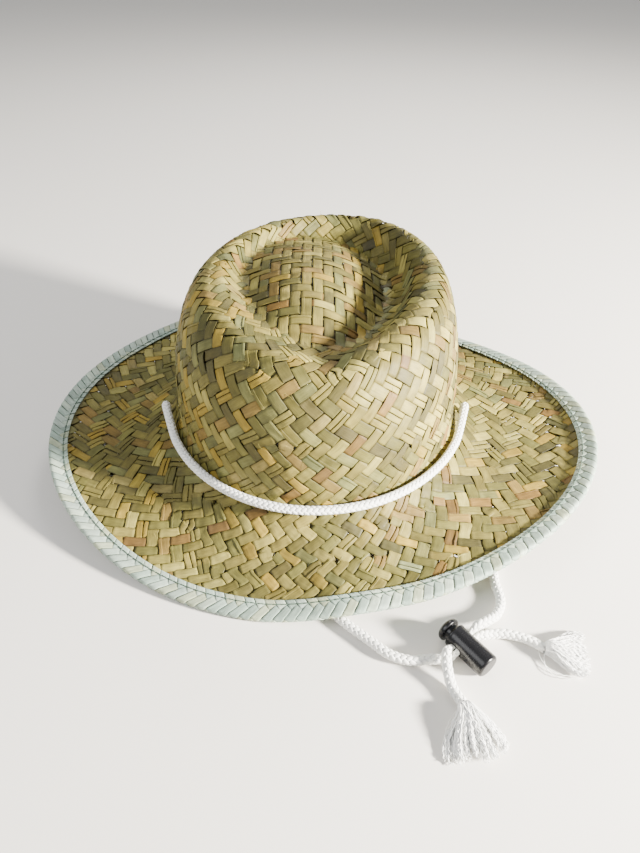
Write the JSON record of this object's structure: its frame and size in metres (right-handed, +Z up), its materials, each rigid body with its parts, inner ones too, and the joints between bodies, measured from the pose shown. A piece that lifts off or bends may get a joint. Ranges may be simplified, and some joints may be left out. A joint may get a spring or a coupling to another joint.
{
  "type": "plaited straw hat",
  "caption": "Plaited seagrass western hat with an upturned bound brim, a pinched crown, and a cotton chin cord held by a sprung cord lock.",
  "frame": {"origin": "middle of the brim's outline on the surface the hat stands on, without the chin cord", "axes": "+Z up through the crown, the front of the hat faces -Y, +X to the right when the front is seen from outside"},
  "size_m": [0.3662, 0.4114, 0.1274],
  "materials": {
    "tip_seagrass": "dry split seagrass leaf, plaited",
    "crown_seagrass": "dry split seagrass leaf, plaited",
    "brim_seagrass": "dry split seagrass leaf, plaited",
    "binding_leaf": "pale grey-green plaited leaf tape",
    "dark_thread": "dark green sewing thread",
    "sweatband_cotton": "woven cotton tape",
    "sweatband_thread": "cotton sewing thread",
    "cord_cotton": "white braided cotton",
    "tassel_cotton": "unravelled white cotton",
    "lock_black": "satin black moulding",
    "spring_steel": "drawn wire"
  },
  "bodies": {
    "hat": {"crown_tip_plait": "tip_seagrass", "crown_side_plait": "crown_seagrass", "brim_plait": "brim_seagrass", "brim_binding": "binding_leaf", "binding_top_thread": "dark_thread", "binding_under_thread": "dark_thread", "sweatband": "sweatband_cotton", "sweatband_thread": "sweatband_thread", "chin_cord_band": "cord_cotton"},
    "chin_loop": {"chin_cord_left": "cord_cotton", "chin_cord_right": "cord_cotton", "tassel_front": "tassel_cotton", "tassel_right": "tassel_cotton", "lock_barrel": "lock_black", "lock_spring": "spring_steel"},
    "plunger": {"lock_plunger": "lock_black"}
  },
  "joints": [
    {"name": "chin_cord_swing", "type": "hinge", "parent": "hat", "child": "chin_loop", "pos_m": [-0.00409, -0.02351, 0.0215], "axis": [1, 0, 0], "range_deg": [0, 95]},
    {"name": "lock_press", "type": "slide", "parent": "chin_loop", "child": "plunger", "axis": [0.6115, -0.7912, 0], "range_m": [0, 0.0022], "stiffness_N_per_m": 300, "springref_m": -0.001, "deforming": ["lock_spring"]}
  ]
}
